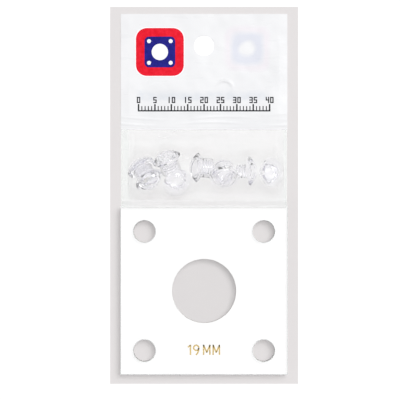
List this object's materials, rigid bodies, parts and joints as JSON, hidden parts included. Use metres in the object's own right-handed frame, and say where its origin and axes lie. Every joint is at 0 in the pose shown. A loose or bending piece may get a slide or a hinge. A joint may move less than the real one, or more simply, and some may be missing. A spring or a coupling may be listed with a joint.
{
  "type": "square screw-together coin capsule with header bag",
  "caption": "Square coin capsule: a white plate with a round coin hole between two clear plates, and a folding header bag holding its clear slotted posts and screws.",
  "frame": {"origin": "centre of the capsule's square back face, under the centre of the coin hole; the capsule lies on that face", "axes": "+Z out of the front face, +Y from the capsule towards the header bag, +X to the right as the front is read"},
  "size_m": [0.0508, 0.1098, 0.0121],
  "materials": {
    "clear_acrylic": "clear cast acrylic sheet, polished faces",
    "white_acrylic": "opaque white acrylic sheet, gloss",
    "gold_foil": "hot-stamped gold foil",
    "clear_film": "thin clear bag film, creased",
    "white_film": "translucent white header film",
    "emblem_print": "ink print",
    "black_print": "ink print",
    "grey_print": "ink print seen through white film",
    "clear_plastic": "clear moulded plastic, gloss"
  },
  "bodies": {
    "back_panel": {"back_plate": "clear_acrylic", "bag_tail": "clear_film"},
    "centre_panel": {"centre_plate": "white_acrylic", "size_mark": "gold_foil"},
    "front_panel": {"front_plate": "clear_acrylic"},
    "header_bag": {"pouch_back_film": "clear_film", "pouch_front_film": "clear_film", "header_back": "white_film", "header_front": "white_film", "emblem_ink": "emblem_print", "scale_ink": "black_print", "back_print": "grey_print"},
    "post_1": {"post_1": "clear_plastic"},
    "screw_1": {"screw_1": "clear_plastic"},
    "post_2": {"post_2": "clear_plastic"},
    "screw_2": {"screw_2": "clear_plastic"},
    "post_3": {"post_3": "clear_plastic"},
    "screw_3": {"screw_3": "clear_plastic"},
    "post_4": {"post_4": "clear_plastic"},
    "screw_4": {"screw_4": "clear_plastic"}
  },
  "joints": [
    {"name": "centre_lift", "type": "slide", "parent": "back_panel", "child": "centre_panel", "axis": [0, 0, 1], "range_m": [0, 0.02]},
    {"name": "front_lift", "type": "slide", "parent": "centre_panel", "child": "front_panel", "axis": [0, 0, 1], "range_m": [0, 0.02]},
    {"name": "bag_fold", "type": "hinge", "parent": "back_panel", "child": "header_bag", "pos_m": [0, 0.0255, 0.0017], "axis": [1, 0, 0], "range_deg": [0, 45]},
    {"name": "post_1_travel", "type": "slide", "parent": "header_bag", "child": "post_1", "axis": [0.4535, -0.6749, 0.5821], "range_m": [-0.00094, 0.00099]},
    {"name": "screw_1_turn", "type": "hinge", "parent": "header_bag", "child": "screw_1", "pos_m": [-0.01665, 0.03381, 0.00687], "axis": [0.4535, -0.6749, 0.5821], "range_deg": [-450, 430]},
    {"name": "post_2_roll", "type": "hinge", "parent": "header_bag", "child": "post_2", "pos_m": [-0.01137, 0.03999, 0.00483], "axis": [-0.3478, 0.8194, 0.4555], "continuous": true},
    {"name": "screw_2_roll", "type": "hinge", "parent": "header_bag", "child": "screw_2", "pos_m": [-0.00804, 0.03294, 0.00466], "axis": [0.2341, -0.4384, 0.8678], "continuous": true},
    {"name": "post_3_roll", "type": "hinge", "parent": "header_bag", "child": "post_3", "pos_m": [-0.002, 0.0375, 0.00438], "axis": [-0.9474, 0.0613, 0.314], "continuous": true},
    {"name": "post_4_roll", "type": "hinge", "parent": "header_bag", "child": "post_4", "pos_m": [0.00609, 0.03469, 0.00543], "axis": [-0.0082, -0.6691, 0.7431], "continuous": true},
    {"name": "screw_3_roll", "type": "hinge", "parent": "header_bag", "child": "screw_3", "pos_m": [0.01382, 0.03643, 0.00442], "axis": [0.9707, 0.0305, 0.2385], "continuous": true},
    {"name": "screw_4_roll", "type": "hinge", "parent": "header_bag", "child": "screw_4", "pos_m": [0.02049, 0.03589, 0.00461], "axis": [0.5938, 0.054, 0.8028], "continuous": true}
  ],
  "couplings": [
    {"joint": "screw_1_turn", "follows": "post_1_travel", "rad_per_m": -7913.3}
  ]
}
